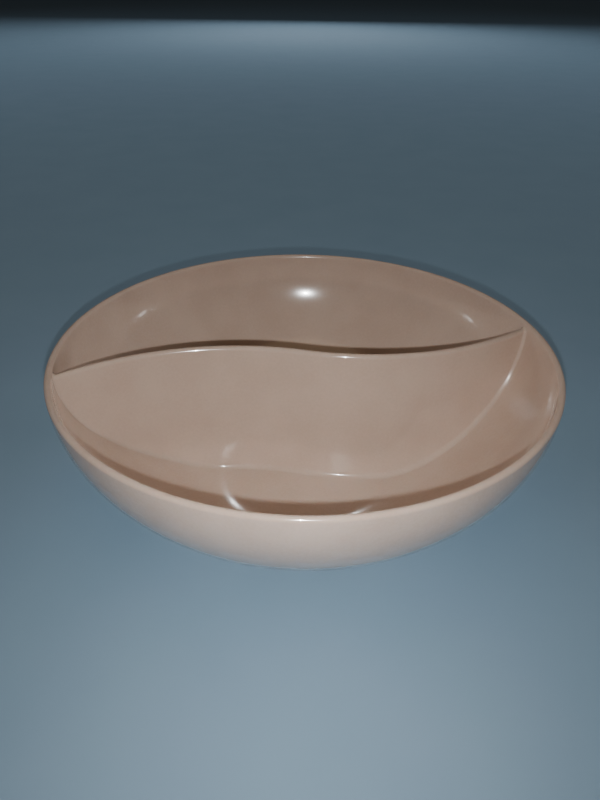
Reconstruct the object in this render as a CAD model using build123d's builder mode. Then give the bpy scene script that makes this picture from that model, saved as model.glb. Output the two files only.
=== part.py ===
"""A round serving bowl with an S-shaped divider, moulded in melamine.

The moulding is modelled as its three features, each a solid of its own that meets the next one face
to face: the bowl shell with its rounded rim, the divider wall that stands in it, and the foot ring
under it. The origin is on the surface that the bowl stands on, below the middle of the bowl, with
+Z up. The divider runs mostly along X. Sizes are in millimetres and degrees.
"""

from build123d import *
from math import asin, degrees, radians, tan
import os

# Bowl shell
outer_diameter = 254.0
outer_height = 84.0  # from the surface that the bowl stands on to the top of the rim
wall_thickness = 3.4  # the same in the floor, and the rim is rounded over its full width
floor_flat_radius = 44.0  # outside this the floor rises, gently at first
side_pull = 49.0  # how far the outer wall keeps near upright, as a curve handle
floor_pull = 21.5  # how far the underside keeps near level, as a curve handle

# Divider wall
divider_angle = 13.5  # from +X to the line between the divider's two ends
divider_bow = 14.5  # how far each half bows out from that line
crest_drop = 3.0  # from the top of the rim down to the crest
crest_thickness = 3.6
divider_draft = 2.5  # lean of each face from upright

# Foot ring
foot_height = 1.5  # from the underside of the floor down to the tread
foot_radius = 47.0  # to the middle of the tread
foot_width = 3.6
tread_fillet = 0.9

outer_radius = outer_diameter / 2
inner_radius = outer_radius - wall_thickness
rim_radius = wall_thickness / 2
rim_z = outer_height - rim_radius
underside_z = foot_height
floor_z = underside_z + wall_thickness
crest_z = outer_height - crest_drop
crest_radius = crest_thickness / 2


def wall_line(radius, bottom_z):
    """The curve of one face of the wall, from the rim's start in to the flat of the floor."""
    rise = (rim_z - bottom_z) / (rim_z - underside_z)
    run = (radius - floor_flat_radius) / (outer_radius - floor_flat_radius)
    return Bezier(
        (radius, rim_z),
        (radius, rim_z - side_pull * rise),
        (floor_flat_radius + floor_pull * run, bottom_z),
        (floor_flat_radius, bottom_z),
    )


# The whole form outside: what the bowl would be with nothing taken out of it.
with BuildPart() as outer_form:
    with BuildSketch(Plane.XZ):
        with BuildLine():
            wall_line(outer_radius, underside_z)
            RadiusArc((inner_radius + rim_radius, outer_height), (outer_radius, rim_z), rim_radius)
            Polyline(
                (floor_flat_radius, underside_z),
                (0, underside_z),
                (0, outer_height),
                (inner_radius + rim_radius, outer_height),
            )
        make_face()
    revolve(axis=Axis.Z)

# The room inside it, up to the top of the rim: where food goes, and what the divider may fill.
with BuildPart() as room_inside:
    with BuildSketch(Plane.XZ):
        with BuildLine():
            wall_line(inner_radius, floor_z)
            RadiusArc((inner_radius, rim_z), (inner_radius + rim_radius, outer_height), rim_radius)
            Polyline(
                (floor_flat_radius, floor_z),
                (0, floor_z),
                (0, outer_height),
                (inner_radius + rim_radius, outer_height),
            )
        make_face()
    revolve(axis=Axis.Z)

with BuildPart() as bowl_shell:
    add(outer_form.part)
    add(room_inside.part, mode=Mode.SUBTRACT)

# Each half of the S is one arc about an upright axis. Both halves share the section in the middle.
half_chord = inner_radius / 2
bow_radius = (half_chord**2 + divider_bow**2) / (2 * divider_bow)
half_sweep = 2 * degrees(asin(half_chord / bow_radius))
overrun = degrees(wall_thickness / bow_radius)  # each end runs on into the wall before it is trimmed
foot_half_width = crest_radius + (crest_z - underside_z) * tan(radians(divider_draft))
chord_plane = Plane.XY.rotated((0, 0, divider_angle))

with BuildPart() as divider_wall:
    for side in (1, -1):
        bow_centre = chord_plane.from_local_coords(
            Vector(side * half_chord, side * (bow_radius - divider_bow), 0)
        )
        section_plane = Plane((0, 0, 0), x_dir=-bow_centre, z_dir=Vector(0, 0, 1).cross(bow_centre))
        with BuildSketch(section_plane):
            with BuildLine():
                Polyline(
                    (-foot_half_width, underside_z),
                    (foot_half_width, underside_z),
                    (crest_radius, crest_z),
                    (-crest_radius, crest_z),
                    close=True,
                )
            make_face()
            fillet(vertices().group_by(Axis.Y)[-1], crest_radius)
        revolve(axis=Axis(bow_centre, (0, 0, 1)), revolution_arc=half_sweep + overrun)
    add(room_inside.part, mode=Mode.INTERSECT)

# The ring is cut from a tall one by the underside, so it meets it wherever the ring stands.
with BuildPart() as foot_ring:
    with BuildSketch(Plane.XZ):
        with Locations((foot_radius, 0)):
            Rectangle(foot_width, rim_z, align=(Align.CENTER, Align.MIN))
        fillet(vertices().group_by(Axis.Y)[0], tread_fillet)
    revolve(axis=Axis.Z)
    add(outer_form.part, mode=Mode.SUBTRACT)

bowl_shell.part.label = "bowl_shell"
divider_wall.part.label = "divider_wall"
foot_ring.part.label = "foot_ring"

os.makedirs("parts", exist_ok=True)
export_step(bowl_shell.part, "parts/bowl_shell.step")
export_step(divider_wall.part, "parts/divider_wall.step")
export_step(foot_ring.part, "parts/foot_ring.step")
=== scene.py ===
# %% [markdown]
# # A divided serving bowl, moulded in melamine
#
# The real bowl is one moulding: a round shell with a rounded rim, an S-shaped wall that stands in
# it and parts it in two, and a low foot ring under it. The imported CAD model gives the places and
# the sizes, in metres, with +Z up and the table at z = 0. Here each CAD node gets a smooth, finely
# stepped piece that stands for it, with the small fillets of the moulding, and a finish.

from math import acos, atan2, cos, exp, pi, radians, sin

import bmesh
import bpy
from mathutils import Matrix, Vector
from mathutils.geometry import interpolate_bezier


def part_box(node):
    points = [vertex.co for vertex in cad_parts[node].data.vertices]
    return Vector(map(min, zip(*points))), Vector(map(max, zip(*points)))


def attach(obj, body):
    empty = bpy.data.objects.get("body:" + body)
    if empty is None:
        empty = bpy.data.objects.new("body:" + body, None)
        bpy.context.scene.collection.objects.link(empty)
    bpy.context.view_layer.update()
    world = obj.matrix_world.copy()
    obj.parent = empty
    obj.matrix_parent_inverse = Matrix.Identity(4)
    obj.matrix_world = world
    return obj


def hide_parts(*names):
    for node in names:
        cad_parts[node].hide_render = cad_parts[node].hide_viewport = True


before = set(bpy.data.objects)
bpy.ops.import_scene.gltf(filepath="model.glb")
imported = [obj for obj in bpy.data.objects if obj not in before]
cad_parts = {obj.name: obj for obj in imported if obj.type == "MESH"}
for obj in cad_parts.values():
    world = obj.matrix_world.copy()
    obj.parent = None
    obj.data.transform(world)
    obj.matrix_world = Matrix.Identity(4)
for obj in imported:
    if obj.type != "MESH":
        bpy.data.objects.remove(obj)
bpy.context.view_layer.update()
print("CAD nodes:", sorted(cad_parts))

# %% [markdown]
# ## Sizes
#
# Most sizes are read from the boxes of the CAD nodes, so a new pack brings its own. The rest are the
# few that a box can't tell: the wall's thickness and curve, the bow of the divider, and the fillets.

# %% Sizes
MM = 0.001

shell_low, shell_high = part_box("bowl_shell")
divider_low, divider_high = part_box("divider_wall")
foot_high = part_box("foot_ring")[1]

outer_radius = shell_high.x
rim_top = shell_high.z
underside = shell_low.z
floor_top = divider_low.z
crest_top = divider_high.z
wall_thickness = floor_top - underside
inner_radius = outer_radius - wall_thickness
rim_radius = wall_thickness / 2
rim_middle = rim_top - rim_radius

floor_flat_radius = 44.0 * MM
side_pull = 49.0 * MM
floor_pull = 21.5 * MM

divider_angle = radians(13.5)
divider_bow = 14.5 * MM
crest_thickness = 3.6 * MM
divider_draft = radians(2.5)
foot_fillet = 2.9 * MM
end_fillet = 1.3 * MM

print(f"bowl {2 * outer_radius / MM:.0f} mm across, {rim_top / MM:.0f} mm high")

# %% [markdown]
# ## From a bmesh to a piece
#
# Every piece ends the same way: doubles are merged, the faces are turned outwards, it is shaded
# smooth, and it rides on the CAD body in place of its CAD node.

# %% Finish a piece
TINY = 0.002 * MM


def make_piece(name, bm, node):
    """Makes an object of the bmesh and puts it in the place of a CAD node."""
    bmesh.ops.remove_doubles(bm, verts=bm.verts, dist=TINY)
    bmesh.ops.dissolve_degenerate(bm, edges=bm.edges, dist=TINY)
    bmesh.ops.recalc_face_normals(bm, faces=bm.faces)
    if bm.calc_volume(signed=True) < 0:
        bmesh.ops.reverse_faces(bm, faces=bm.faces)
    for face in bm.faces:
        face.smooth = True
    open_edges = sum(1 for edge in bm.edges if not edge.is_manifold)
    triangles = sum(len(face.verts) - 2 for face in bm.faces)
    volume = bm.calc_volume(signed=True)
    mesh = bpy.data.meshes.new(name)
    bm.to_mesh(mesh)
    bm.free()
    piece = bpy.data.objects.new(name, mesh)
    bpy.context.scene.collection.objects.link(piece)
    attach(piece, "root")
    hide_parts(node)
    print(f"{name}: {triangles} triangles, {open_edges} open edges, {volume / MM**3 / 1000:.1f} cm3")
    return piece


print(f"corners nearer than {TINY / MM} mm are merged")

# %% [markdown]
# ## The wall's two curves
#
# The shell is turned from a section. Its outer and inner faces are each one Bezier curve, upright at
# the rim and level at the floor, so the wall has no corner anywhere. The inner curve is used twice:
# the shell is spun from it, and the foot of the divider has to follow it.

# %% Curve of one face of the wall
CURVE_STEPS = 128
RIM_STEPS = 12


def wall_curve(radius, bottom):
    """Points (radius, 0, height) from the edge of the flat floor out and up to the rim."""
    rise = (rim_middle - bottom) / (rim_middle - underside)
    run = (radius - floor_flat_radius) / (outer_radius - floor_flat_radius)
    return interpolate_bezier(
        Vector((floor_flat_radius, 0, bottom)),
        Vector((floor_flat_radius + floor_pull * run, 0, bottom)),
        Vector((radius, 0, rim_middle - side_pull * rise)),
        Vector((radius, 0, rim_middle)),
        CURVE_STEPS + 1,
    )


def rim_arc(first, last, steps):
    """Points round the rim from one angle to another, without the first."""
    middle = Vector((outer_radius - rim_radius, 0, rim_middle))
    turns = [first + (last - first) * i / steps for i in range(1, steps + 1)]
    return [middle + rim_radius * Vector((cos(a), 0, sin(a))) for a in turns]


outer_line = [Vector((0, 0, underside))] + wall_curve(outer_radius, underside)
inner_line = [Vector((0, 0, floor_top))] + wall_curve(inner_radius, floor_top)
print(f"inner line: {len(inner_line)} points")

# %% [markdown]
# ## The bowl shell
#
# The real shell is pressed between two polished mould halves. The section goes along the underside,
# up the outside, round the rim and down the inside, and one full spin makes the shell. The ends of
# the section are on the axis, and merging the doubles closes both poles.

# %% Spin the shell
SPIN_STEPS = 320


def spin_section(points, closed):
    """A bmesh with this section turned once round the bowl's axis."""
    bm = bmesh.new()
    verts = [bm.verts.new(point) for point in points]
    edges = [bm.edges.new(pair) for pair in zip(verts, verts[1:])]
    if closed:
        edges.append(bm.edges.new((verts[-1], verts[0])))
    bmesh.ops.spin(
        bm,
        geom=verts + edges,
        cent=(0, 0, 0),
        axis=(0, 0, 1),
        angle=2 * pi,
        steps=SPIN_STEPS,
        use_merge=True,
    )
    return bm


shell_section = outer_line + rim_arc(0, pi, 2 * RIM_STEPS) + inner_line[::-1][1:]
shell = make_piece("bowl_shell_moulding", spin_section(shell_section, closed=False), "bowl_shell")

# %% [markdown]
# ## How a fillet follows a curved bowl
#
# The wall of the divider meets the bowl in a small fillet all the way round. A fillet is the track of
# a ball that rolls along the corner and touches both sides. The centre of the ball keeps one radius
# away from the bowl, so it lies on the bowl's inner curve moved inwards by that radius. On the floor
# the fillet is wide, so a spoon can follow it, and it gets tighter as it climbs to the rim. It is
# laid a hair proud of the bowl, so its edge never dips into the flats between the bowl's steps.

# %% Track of the rolling ball
PROUD = 0.015 * MM

contact_line = inner_line + rim_arc(pi, pi / 2, RIM_STEPS)


def into_bowl(i):
    """Unit normal of the inner line at point i, out of the plastic."""
    before = contact_line[max(i - 1, 0)]
    after = contact_line[min(i + 1, len(contact_line) - 1)]
    along = (after - before).normalized()
    return Vector((-along.z, 0, along.x))


def fillet_at(height):
    """Radius of the fillet where it touches the bowl at this height: it is down to its least at 3/4."""
    climbed = min(1, (height - floor_top) / (0.75 * (crest_top - floor_top)))
    return foot_fillet + (end_fillet - foot_fillet) * climbed


ball_track = []
for i, point in enumerate(contact_line):
    radius = fillet_at(point.z)
    ball_track.append((point + into_bowl(i) * (radius + PROUD), into_bowl(i), radius))


def on_track(axis, value):
    """(ball's centre, bowl's normal, ball's radius) where the centre's x or z (axis 0 or 2) is this."""
    for before, after in zip(ball_track, ball_track[1:]):
        (low, low_normal, low_radius), (high, high_normal, high_radius) = before, after
        if low[axis] < high[axis] and value <= high[axis]:
            part = max(0, (value - low[axis]) / (high[axis] - low[axis]))
            normal = low_normal.lerp(high_normal, part).normalized()
            return low.lerp(high, part), normal, low_radius + (high_radius - low_radius) * part
    raise ValueError(f"the ball never gets to {value}")


print(f"ball of {foot_fillet / MM:.1f} mm on the floor, {end_fillet / MM:.1f} mm at the rim")

# %% [markdown]
# ## The divider's plan and section
#
# Seen from above, each half of the divider is one arc, and the other half is the same arc turned half
# a turn. Its section is a wall that leans in a little on both sides, as a moulding must to leave the
# mould, under a fully rounded crest. A place on it is given by the angle along the arc, the distance
# across from the middle of the wall, and the height.

# %% Plan and section
half_chord = inner_radius / 2
bow_radius = (half_chord**2 + divider_bow**2) / (2 * divider_bow)
bow_centre = Vector((half_chord, bow_radius - divider_bow, 0))
first_angle = atan2(-bow_centre.y, -bow_centre.x)

crest_radius = crest_thickness / 2 * cos(divider_draft) / (1 - sin(divider_draft))
crest_middle = crest_top - crest_radius
reach = crest_radius + end_fillet


def place(half, turn, across, height):
    """A point of the right (1) or left (-1) half. Across is positive on the far side, towards +Y."""
    radius = bow_radius - half * across
    angle = first_angle + turn
    x = bow_centre.x + radius * cos(angle)
    y = bow_centre.y + radius * sin(angle)
    return Vector((half * x, half * y, height))


def turn_at(half, across, radius):
    """How far along its arc a half is when it is this far from the bowl's axis."""
    side = bow_radius - half * across
    cosine = (bow_radius**2 + side**2 - radius**2) / (2 * bow_radius * side)
    return acos(min(1, max(-1, cosine)))


def ball_across(height, radius):
    """How far from the middle of the wall a ball's centre is that touches the face at this height."""
    return (crest_radius + radius - (height - crest_middle) * sin(divider_draft)) / cos(divider_draft)


print(f"each half bows out on a {bow_radius / MM:.1f} mm radius")

# %% [markdown]
# ## Stations along the divider
#
# The divider's surface is a grid. Each row of the grid is one section, and a station says where it
# is. In the middle the stations are steps along the arc. From half way out they climb the bowl step
# by step, so that they stay dense where its wall gets steep, and the last ones take the ball over the
# rounded crest, where both sides of the divider close in one point against the rim.

# %% Stations from the middle to one end
SWITCH_RADIUS = 48.0 * MM
MIDDLE_STEPS = 48
END_STEPS = 14
END_GAP = 0.2 * MM
FOOT_ROUNDS = 4  # the ball's height and its place depend on each other, and this many rounds settle it


def climbing_stations():
    """(ball's centre, bowl's normal, ball's radius, ball across) from half way out to the rim."""
    found = []
    face_end = crest_middle + reach * sin(divider_draft)
    for ball, normal, radius in ball_track:
        if ball.x > SWITCH_RADIUS and ball.z < face_end - END_GAP:
            found.append((ball, normal, radius, ball_across(ball.z, radius)))
    for i in range(END_STEPS + 1):
        lift = divider_draft + (pi / 2 - divider_draft) * i / END_STEPS
        found.append((*on_track(2, crest_middle + reach * sin(lift)), reach * cos(lift)))
    return found


def stations_of(half):
    """(half, ball in space, bowl's normal, ball's radius, ball across, its turn, the crest's turn)."""
    climbing = climbing_stations()
    ball, normal, radius, across = climbing[0]
    last_turn = turn_at(1, 0, ball.x)
    share = turn_at(half, across, ball.x) / last_turn
    found = []
    for i in range(MIDDLE_STEPS):
        turn = last_turn * i / MIDDLE_STEPS
        height, radius = ball_track[0][0].z, foot_fillet
        for _ in range(FOOT_ROUNDS):
            across = ball_across(height, radius)
            ball, normal, radius = on_track(0, place(half, share * turn, across, 0).length)
            height = ball.z
        spot = place(half, share * turn, across, height)
        found.append((half, spot, normal, radius, across, share * turn, turn))
    for ball, normal, radius, across in climbing:
        turn = turn_at(half, across, ball.x)
        spot = place(half, turn, across, ball.z)
        found.append((half, spot, normal, radius, across, turn, turn_at(1, 0, ball.x)))
    return found


stations = stations_of(-1)[::-1] + stations_of(1)[1:]
print(f"{len(stations)} stations")

# %% [markdown]
# ## One section of the divider
#
# A section starts under the floor's surface, comes up where the ball touches the bowl, follows the
# ball round to the divider's face, and goes up the face and over to the middle of the crest. The
# steps up the face start small at the crest, where the surface turns quickly, and get wider.

# %% Points of one section
FILLET_STEPS = 18
FACE_STEPS = 30
CREST_STEP = 0.24 * MM
SUNK = 1.0 * MM
GROWTH_LIMITS = (1e-6, 12.0)
HALVINGS = 40
NO_SWING = 1e-4


def graded(length, count):
    """Distances from 0 to length that start with steps of about CREST_STEP and get wider."""
    growth, wanted = 0.0, CREST_STEP * count / max(length, TINY)
    if wanted < 1:
        low, high = GROWTH_LIMITS
        for _ in range(HALVINGS):
            growth = (low + high) / 2
            low, high = (growth, high) if growth / (exp(growth) - 1) > wanted else (low, growth)
    shares = [i / count for i in range(count + 1)]
    if growth == 0:
        return [length * share for share in shares]
    return [length * (exp(growth * share) - 1) / (exp(growth) - 1) for share in shares]


def up_the_face(lowest_height, lowest_lift):
    """(across, height) from the middle of the crest down the face to where the fillet starts."""
    arc = crest_radius * (pi / 2 - lowest_lift)
    face_top = crest_middle + crest_radius * sin(divider_draft)
    straight = max(0, (face_top - lowest_height) / cos(divider_draft))
    straight = straight if lowest_lift <= divider_draft else 0
    points = []
    for down in graded(arc + straight, FACE_STEPS):
        lift = pi / 2 - min(down, arc) / crest_radius
        rest = max(0, down - arc)
        across = crest_radius * cos(lift) + rest * sin(divider_draft)
        points.append((across, crest_middle + crest_radius * sin(lift) - rest * cos(divider_draft)))
    return points


def under_the_bowl(distance):
    """(radius, 0, height) in the bowl's wall, under the ball that is this far from the bowl's axis."""
    ball, normal, radius = on_track(0, distance)
    return ball - normal * (radius + SUNK)


def section(half, ball, normal, radius, across, turn, crest_turn):
    """The points of one section, from under the middle of the divider's foot up to its crest."""
    lift = max(divider_draft, atan2(ball.z - crest_middle, across))
    flat = Vector((ball.x, ball.y, 0))
    outward = flat.normalized() if flat.length > TINY else Vector((1, 0, 0))
    down = outward * -normal.x - Vector((0, 0, normal.z))
    face = up_the_face(ball.z - radius * sin(divider_draft), lift)
    face_across = max(face[-1][0], TINY)
    face_points = []
    for side, height in face[::-1]:
        blend = side / face_across
        face_points.append(place(half, crest_turn + (turn - crest_turn) * blend, side, height))
    end = (face_points[0] - ball).normalized()
    swing = down.angle(end)
    fillet = []
    for i in range(FILLET_STEPS + 1):
        part = (1 - cos(pi * i / FILLET_STEPS)) / 2
        fillet.append(ball + radius * down.slerp(end, part) if swing > NO_SWING else face_points[0])
    under_middle = under_the_bowl(place(half, crest_turn, 0, 0).length)
    foot = place(half, turn_at(half, 0, under_middle.x), 0, under_middle.z)
    return [foot, fillet[0] + down * SUNK] + fillet[:-1] + face_points


print(f"{len(section(*stations[0]))} points in a section")

# %% [markdown]
# ## From sections to the divider
#
# The sections could be bridged loop by loop, but they all have the same number of points, so one
# flat grid can be laid over them all at once, corner by corner. It covers the far side only. The
# divider looks the same after half a turn, so a copy of the grid, turned half a turn, is the near
# side, and merging the doubles sews the two together. In the last half millimetre of each tip a few
# tiny edges are still not sewn cleanly. The count of open edges that is printed says how many.

# %% Lay a grid over the sections
sections = [section(*station) for station in stations]
bm = bmesh.new()
grid = bmesh.ops.create_grid(
    bm, x_segments=len(sections[0]) - 1, y_segments=len(sections) - 1, size=1
)["verts"]
grid.sort(key=lambda vert: (round(vert.co.y, 5), round(vert.co.x, 5)))
for vert, point in zip(grid, (p for one in sections for p in one)):
    vert.co = point
print(len(bm.verts), "corners on the far side")

# %% Turn a copy half a turn for the near side and close the two
near_side = bmesh.ops.duplicate(bm, geom=bm.verts[:] + bm.edges[:] + bm.faces[:])["geom"]
bmesh.ops.rotate(
    bm,
    verts=[part for part in near_side if isinstance(part, bmesh.types.BMVert)],
    cent=(0, 0, 0),
    matrix=Matrix.Rotation(pi, 3, "Z"),
)
bmesh.ops.rotate(bm, verts=bm.verts, cent=(0, 0, 0), matrix=Matrix.Rotation(divider_angle, 3, "Z"))
divider = make_piece("divider_moulding", bm, "divider_wall")

# %% [markdown]
# ## The foot ring
#
# The bowl stands on a low ring, so its polished underside keeps off the table. On the real bowl the
# ring is part of the moulding, and its tread is rounded so it slides without scratching. It could be
# a bevelled tube, but spinning its section keeps it in step with the shell. The section starts a
# little inside the underside, so there is no gap where the two meet.

# %% Spin the foot ring
CORNER_STEPS = 8

foot_width = 3.6 * MM
tread_fillet = 0.9 * MM
foot_radius = foot_high.x - foot_width / 2
inner_end_drop = 0.1 * MM  # the underside curves up, so the ring's inner edge meets it lower down


def tread_corner(middle_x, first):
    """A quarter turn round one edge of the tread, from this angle on."""
    turns = [first + pi / 2 * i / CORNER_STEPS for i in range(CORNER_STEPS + 1)]
    middle = Vector((middle_x, 0, tread_fillet))
    return [middle + tread_fillet * Vector((cos(a), 0, sin(a))) for a in turns]


foot_section = (
    [Vector((foot_radius - foot_width / 2, 0, foot_high.z - inner_end_drop))]
    + tread_corner(foot_radius - foot_width / 2 + tread_fillet, pi)
    + tread_corner(foot_radius + foot_width / 2 - tread_fillet, 1.5 * pi)
    + [Vector((foot_radius + foot_width / 2, 0, foot_high.z))]
)
foot = make_piece("foot_ring_moulding", spin_section(foot_section, closed=True), "foot_ring")

# %% [markdown]
# ## Two helpers for materials
#
# Colours are easiest to talk about as sRGB hex values, as in a paint program, but Blender's shaders
# work in linear light, so one function turns the one into the other. Another adds a node with its
# settings and fills its inputs: what comes from another node is linked, and the rest is set.

# %% Colours and nodes
def linear(hex_colour):
    """An sRGB hex colour as linear RGBA."""
    parts = [int(hex_colour[i : i + 2], 16) / 255 for i in (1, 3, 5)]
    return tuple(c / 12.92 if c <= 0.04045 else ((c + 0.055) / 1.055) ** 2.4 for c in parts) + (1.0,)


def add_node(tree, kind, inputs=(), **settings):
    """Adds a node of this kind. Each input is a value, or an output of another node to link to it."""
    node = tree.nodes.new(kind)
    for name, value in settings.items():
        setattr(node, name, value)
    for name, value in dict(inputs).items():
        if isinstance(value, bpy.types.NodeSocket):
            tree.links.new(value, node.inputs[name])
        else:
            node.inputs[name].default_value = value
    return node


print("half grey in linear light:", round(linear("#808080")[0], 3))

# %% [markdown]
# ## The finish: compression-moulded melamine
#
# Melamine tableware is pressed from a warm powder between polished moulds. It comes out hard and
# glossy, in one colour all the way through, with a refractive index near 1.6. Looked at closely it
# is not one flat colour: the powder flows in faint clouds, and leaves a grain. The mould's polish
# leaves very shallow waves, which bend the reflections a little. Use adds fine scratches where
# spoons scrape, and dulls the rim, the divider's crest and the tread, where bowls knock and slide.
#
# All patterns are on Object coordinates, in metres. A noise's scale is one over the size it shows.

# %% Patterns
CLOUD_SIZE = 24 * MM
GRAIN_SIZE = 1.3 * MM  # in truth about 0.1 mm, drawn this coarse so that it shows
WAVE_SIZE = 14 * MM
SCUFF_SIZE = 9 * MM

melamine = bpy.data.materials.new("compression-moulded melamine")
melamine.use_nodes = True
tree = melamine.node_tree
shader = tree.nodes["Principled BSDF"]
where = add_node(tree, "ShaderNodeTexCoord").outputs["Object"]

NOISE = "ShaderNodeTexNoise"
clouds = add_node(tree, NOISE, {"Vector": where, "Scale": 1 / CLOUD_SIZE, "Detail": 2}).outputs["Fac"]
grain = add_node(tree, NOISE, {"Vector": where, "Scale": 1 / GRAIN_SIZE, "Detail": 1}).outputs["Fac"]
waves = add_node(tree, NOISE, {"Vector": where, "Scale": 1 / WAVE_SIZE, "Detail": 0}).outputs["Fac"]
scuffs = add_node(tree, NOISE, {"Vector": where, "Scale": 1 / SCUFF_SIZE, "Detail": 3}).outputs["Fac"]
print(len(tree.nodes), "nodes, clouds of", CLOUD_SIZE / MM, "mm")

# %% [markdown]
# ### Scratches
#
# A scratch is long and thin, so its pattern is noise that is stretched along one direction. Only the
# tips of the noise count, which leaves short separate lines. Two sets cross each other, as strokes
# of a spoon and a cloth do. A real scratch is some 0.03 mm wide, and these are drawn about fifteen
# times that, so that they show.

# %% Two sets of scratches
SCRATCH_LENGTH = 26 * MM
SCRATCH_WIDTH = 0.45 * MM
SCRATCH_TURNS = (22, -57)
SCRATCH_FROM, SCRATCH_TO = 0.66, 0.8

MATH = "ShaderNodeMath"
RANGE = "ShaderNodeMapRange"
MAPPING = "ShaderNodeMapping"

stretch = (1 / SCRATCH_LENGTH, 1 / SCRATCH_WIDTH, 1 / SCRATCH_LENGTH)
sets = []
for turn in SCRATCH_TURNS:
    turned = add_node(tree, MAPPING, {"Vector": where, "Rotation": (0, 0, radians(turn))})
    stretched = add_node(tree, MAPPING, {"Vector": turned.outputs[0], "Scale": stretch})
    lines = add_node(tree, NOISE, {"Vector": stretched.outputs[0], "Scale": 1, "Detail": 0})
    tips = {"Value": lines.outputs["Fac"], "From Min": SCRATCH_FROM, "From Max": SCRATCH_TO}
    sets.append(add_node(tree, RANGE, tips, interpolation_type="SMOOTHSTEP").outputs[0])
scratches = add_node(tree, MATH, dict(enumerate(sets)), operation="MAXIMUM").outputs[0]
print(len(sets), "sets of scratches,", SCRATCH_LENGTH / MM, "mm long")

# %% [markdown]
# ### Where it is worn
#
# Height tells where wear belongs: the scuffed gloss is on the rim, the crest and the tread, and noise
# breaks its edge, so it isn't a clean band. Scratches are on the floor and fade out where the wall
# turns up, because the pattern lies flat and would be smeared down a steep face.

# %% Wear by height
SCRATCHED_FROM, SCRATCHED_TO, LEAST_SCRATCHED = 34 * MM, 8 * MM, 0.12
EDGE_DEPTH = 1.2 * MM
TREAD_FROM, TREAD_TO = 0.5 * MM, 0.1 * MM
LEVEL_FROM, LEVEL_TO = 0.75, 0.97  # the upward part of the normal: 41 and 14 degrees off level
PATCH_FROM, PATCH_TO = 0.42, 0.62

height = add_node(tree, "ShaderNodeSeparateXYZ", {"Vector": where}).outputs["Z"]
normal = add_node(tree, "ShaderNodeNewGeometry").outputs["Normal"]
up = add_node(tree, "ShaderNodeSeparateXYZ", {"Vector": normal}).outputs["Z"]

near_floor, near_edge, on_tread, level, patches = [
    add_node(
        tree,
        RANGE,
        {"Value": value, "From Min": start, "From Max": end, "To Min": least},
        interpolation_type="SMOOTHSTEP",
    ).outputs[0]
    for value, start, end, least in (
        (height, SCRATCHED_FROM, SCRATCHED_TO, LEAST_SCRATCHED),
        (height, crest_top - EDGE_DEPTH, crest_top, 0),
        (height, TREAD_FROM, TREAD_TO, 0),
        (up, LEVEL_FROM, LEVEL_TO, 0),
        (scuffs, PATCH_FROM, PATCH_TO, 0),
    )
]
edges = add_node(tree, MATH, {0: near_edge, 1: on_tread}, operation="MAXIMUM").outputs[0]
knocked = add_node(tree, MATH, {0: edges, 1: patches}, operation="MULTIPLY").outputs[0]
flat_scratches = add_node(tree, MATH, {0: scratches, 1: level}, operation="MULTIPLY").outputs[0]
scraped = add_node(tree, MATH, {0: flat_scratches, 1: near_floor}, operation="MULTIPLY").outputs[0]
print(f"most scratched below {SCRATCHED_TO / MM:.0f} mm")
print(f"knocked above {(crest_top - EDGE_DEPTH) / MM:.1f} mm")

# %% [markdown]
# ### Colour
#
# The colour moves by a few percent between a paler and a deeper tone, mostly in the clouds and a
# little in the grain. Scratches and scuffs show pale, because the broken surface scatters light.

# %% Colour
PALE = "#D1BAAA"
DEEP = "#C9B1A1"
WORN = "#DAC8BC"

CLOUD_SHARE, GRAIN_SHARE = 0.65, 0.35
MOTTLE_FROM, MOTTLE_TO = 0.3, 0.7
SCRAPED_PALENESS, KNOCKED_PALENESS = 0.15, 0.08

MIX = "ShaderNodeMix"
MIX_A, MIX_B, MIX_COLOUR = 6, 7, 2  # sockets of a Mix node when it mixes colours

part_clouds = add_node(tree, MATH, {0: clouds, 1: CLOUD_SHARE}, operation="MULTIPLY").outputs[0]
inputs = {0: grain, 1: GRAIN_SHARE, 2: part_clouds}
mottle = add_node(tree, MATH, inputs, operation="MULTIPLY_ADD").outputs[0]
inputs = {"Value": mottle, "From Min": MOTTLE_FROM, "From Max": MOTTLE_TO}
share = add_node(tree, RANGE, inputs, interpolation_type="SMOOTHSTEP").outputs[0]
inputs = {"Factor": share, MIX_A: linear(DEEP), MIX_B: linear(PALE)}
colour = add_node(tree, MIX, inputs, data_type="RGBA").outputs[MIX_COLOUR]
for mark, paleness in ((scraped, SCRAPED_PALENESS), (knocked, KNOCKED_PALENESS)):
    amount = add_node(tree, MATH, {0: mark, 1: paleness}, operation="MULTIPLY").outputs[0]
    inputs = {"Factor": amount, MIX_A: colour, MIX_B: linear(WORN)}
    colour = add_node(tree, MIX, inputs, data_type="RGBA").outputs[MIX_COLOUR]
tree.links.new(colour, shader.inputs["Base Color"])
print("colour from", DEEP, "to", PALE)

# %% [markdown]
# ### Gloss
#
# The gloss is two layers. The body gives a soft glow round each glint, and the resin skin on top
# gives the sharp glint itself. Scratches and scuffs raise the roughness, which is where the eye
# notices them most: a glint breaks up as it crosses them.

# %% Gloss
MELAMINE_IOR = 1.6
POLISHED, CLOUDED = 0.12, 0.04
SCRAPED_DULLING, KNOCKED_DULLING = 0.1, 0.05
SKIN, SKIN_ROUGHNESS = 0.85, 0.04

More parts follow.
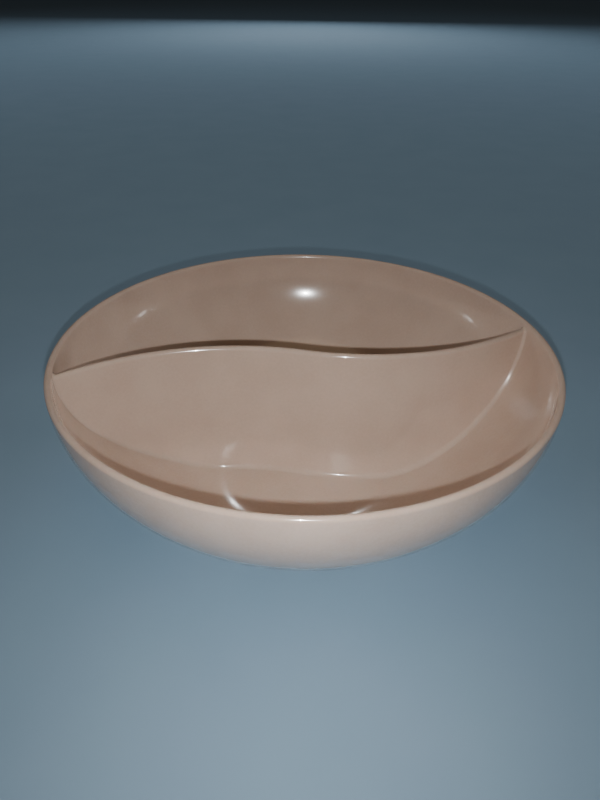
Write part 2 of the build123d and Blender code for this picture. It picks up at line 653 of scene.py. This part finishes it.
inputs = {0: clouds, 1: CLOUDED, 2: POLISHED}
roughness = add_node(tree, MATH, inputs, operation="MULTIPLY_ADD").outputs[0]
for mark, dulling in ((scraped, SCRAPED_DULLING), (knocked, KNOCKED_DULLING)):
    inputs = {0: mark, 1: dulling, 2: roughness}
    roughness = add_node(tree, MATH, inputs, operation="MULTIPLY_ADD").outputs[0]
tree.links.new(roughness, shader.inputs["Roughness"])
shader.inputs["IOR"].default_value = MELAMINE_IOR
shader.inputs["Coat Weight"].default_value = SKIN
shader.inputs["Coat Roughness"].default_value = SKIN_ROUGHNESS
shader.inputs["Coat IOR"].default_value = MELAMINE_IOR
print("roughness from", POLISHED, "where it is polished")

# %% [markdown]
# ### Light that sinks in
#
# Melamine is a little translucent: light goes some way into it before it comes out again. That
# softens the shading and lets a warm glow into the narrow shadows.

# %% Light that sinks in
SINK_SHARE = 0.12
SINK_DEPTH = 2.5 * MM
SINK_BY_COLOUR = (1.0, 0.45, 0.25)  # red goes deepest, so thin edges and shadows glow warm

shader.inputs["Subsurface Weight"].default_value = SINK_SHARE
shader.inputs["Subsurface Radius"].default_value = SINK_BY_COLOUR
shader.inputs["Subsurface Scale"].default_value = SINK_DEPTH
print("red light sinks in", SINK_DEPTH / MM, "mm")

# %% [markdown]
# ### Relief
#
# Three bumps in a row tilt the light a little: the mould's shallow waves, the powder's grain, and the
# scratches, which cut in and so have a negative depth. Their depths are fractions of a millimetre,
# too small to model, and too small to change the outline.

# %% Relief
WAVE_DEPTH = 0.02 * MM
GRAIN_DEPTH = 0.002 * MM
SCRATCH_DEPTH = 0.004 * MM

relief = normal
for pattern, depth in ((waves, WAVE_DEPTH), (grain, GRAIN_DEPTH), (scraped, -SCRATCH_DEPTH)):
    inputs = {"Height": pattern, "Distance": depth, "Normal": relief}
    relief = add_node(tree, "ShaderNodeBump", inputs).outputs["Normal"]
tree.links.new(relief, shader.inputs["Normal"])

for piece in (shell, divider, foot):
    piece.data.materials.append(melamine)
print(len(tree.nodes), "nodes in", melamine.name)

# %% [markdown]
# ## The table
#
# The bowl stands on a plain pale cloth, a little blue. It only has to catch the shadow and send some
# light back up the outside of the bowl, so it is one flat disc, with a dull finish and a faint mottle.

# %% Table
TABLE_RADIUS = 8.0
TABLE_SIDES = 96


bm = bmesh.new()
bmesh.ops.create_circle(bm, cap_ends=True, segments=TABLE_SIDES, radius=TABLE_RADIUS)
mesh = bpy.data.meshes.new("table")
bm.to_mesh(mesh)
bm.free()
table = bpy.data.objects.new("table", mesh)
bpy.context.scene.collection.objects.link(table)
print("table of", TABLE_RADIUS, "m")

# %% Cloth
CLOTH_BLUE, CLOTH_PALE = "#86A3BA", "#8FABC1"
CLOTH_MOTTLE = 60 * MM
CLOTH_ROUGHNESS = 0.85

cloth = bpy.data.materials.new("plain table cloth")
cloth.use_nodes = True
tree = cloth.node_tree
where = add_node(tree, "ShaderNodeTexCoord").outputs["Object"]
shader = tree.nodes["Principled BSDF"]
mottle = add_node(tree, NOISE, {"Vector": where, "Scale": 1 / CLOTH_MOTTLE, "Detail": 3}).outputs["Fac"]
inputs = {"Factor": mottle, MIX_A: linear(CLOTH_BLUE), MIX_B: linear(CLOTH_PALE)}
colour = add_node(tree, MIX, inputs, data_type="RGBA").outputs[MIX_COLOUR]
tree.links.new(colour, shader.inputs["Base Color"])
shader.inputs["Roughness"].default_value = CLOTH_ROUGHNESS
table.data.materials.append(cloth)
print(len(tree.nodes), "nodes in", cloth.name)

# %% [markdown]
# ## The camera
#
# The bowl is seen from close by and about a third of the way up, so its far rim looks much smaller
# than its near one. The camera's place is given from the middle of the bowl's foot, and it looks
# level along +Y before it is tipped down.

# %% Camera
EYE = Vector((-1.12, -296.9, 246.77)) * MM
TIP_DOWN = radians(33.487)
ROLL = radians(0.781)
YAW = radians(0.189)
LENS = 29.75
SENSOR = 36.0
NEAREST = 10 * MM

camera_data = bpy.data.cameras.new("camera")
camera_data.sensor_width = SENSOR
camera_data.lens = LENS
camera_data.clip_start = NEAREST
camera = bpy.data.objects.new("camera", camera_data)
bpy.context.scene.collection.objects.link(camera)
camera.matrix_world = (
    Matrix.Translation(EYE)
    @ Matrix.Rotation(YAW, 4, "Z")
    @ Matrix.Rotation(pi / 2 - TIP_DOWN, 4, "X")
    @ Matrix.Rotation(ROLL, 4, "Z")
)
bpy.context.scene.camera = camera
print(f"camera {EYE.length / MM:.0f} mm from the middle of the foot")

# %% [markdown]
# ## The light
#
# A small neutral lamp just below the lens gives the bright glints and the narrow dark edges behind the
# rim and the crest. A wide warm one high above the table, like a ceiling lamp with a shade, fills the
# bowl from above and makes the shadows warm. Three softboxes, low down at the back and the sides,
# light the far side of the bowl, so it can be looked at from anywhere. They are left out of
# reflections, because they would draw a bright line along the rim. The room adds very little light.
# What the camera sees past the table is a paler backdrop, mixed in for direct rays only.

# %% Lamps
LENS_LAMP_BELOW = 13.5 * MM
LENS_LAMP_SIZE = 5.5 * MM
LENS_LAMP_BEAM = radians(100)
LENS_LAMP_TIP = radians(6)
LENS_LAMP_WATTS = 0.27
CEILING_HEIGHT = 1.6
CEILING_SIZE = 1.4
CEILING_WATTS = 1.8
SOFTBOX_TURNS = (-64, 0, 62)
SOFTBOX_DISTANCE = 3.2
SOFTBOX_HEIGHT = 1.15
SOFTBOX_SIZE = 1.5
SOFTBOX_AIM = radians(70)
SOFTBOX_WATTS = 17.0


def add_lamp(name, place, size, watts, colour, mirrored=True):
    """Adds a round lamp at a place, which shines down its own -Z. Glossy things can mirror it or not."""
    data = bpy.data.lights.new(name, "AREA")
    data.shape = "DISK"
    data.size = size
    data.energy = watts
    data.color = linear(colour)[:3]
    lamp = bpy.data.objects.new(name, data)
    bpy.context.scene.collection.objects.link(lamp)
    lamp.matrix_world = place
    lamp.visible_camera = False
    lamp.visible_glossy = mirrored
    print(f"{name}: {watts} W")
    return data


below_lens = camera.matrix_world @ Matrix.Translation((0, -LENS_LAMP_BELOW, 0))
tipped = below_lens @ Matrix.Rotation(-LENS_LAMP_TIP, 4, "X")
add_lamp("lamp by the lens", tipped, LENS_LAMP_SIZE, LENS_LAMP_WATTS, "#FFFFFF").spread = LENS_LAMP_BEAM
overhead = Matrix.Translation((0, 0, CEILING_HEIGHT))
add_lamp("ceiling lamp", overhead, CEILING_SIZE, CEILING_WATTS, "#FFDEB6")
away = Matrix.Translation((0, SOFTBOX_DISTANCE, SOFTBOX_HEIGHT))
aim = Matrix.Rotation(-SOFTBOX_AIM, 4, "X")
for turn in SOFTBOX_TURNS:
    stand = Matrix.Rotation(radians(turn), 4, "Z") @ away @ aim
    add_lamp(f"softbox at {turn}", stand, SOFTBOX_SIZE, SOFTBOX_WATTS, "#F2F4F6", mirrored=False)

# %% Room
ROOM_LIGHT = 0.045
BACKDROP_LIGHT = 0.4

world = bpy.data.worlds.new("room")
bpy.context.scene.world = world
world.use_nodes = True
tree = world.node_tree
dim = tree.nodes["Background"]
dim.inputs["Color"].default_value = linear("#DDD6CE")
dim.inputs["Strength"].default_value = ROOM_LIGHT
inputs = {"Color": linear("#A9B3BA"), "Strength": BACKDROP_LIGHT}
backdrop = add_node(tree, "ShaderNodeBackground", inputs)
direct = add_node(tree, "ShaderNodeLightPath").outputs["Is Camera Ray"]
room = add_node(tree, "ShaderNodeMixShader", {0: direct, 1: dim.outputs[0], 2: backdrop.outputs[0]})
tree.links.new(room.outputs["Shader"], tree.nodes["World Output"].inputs["Surface"])
print(len(tree.nodes), "nodes in the room")
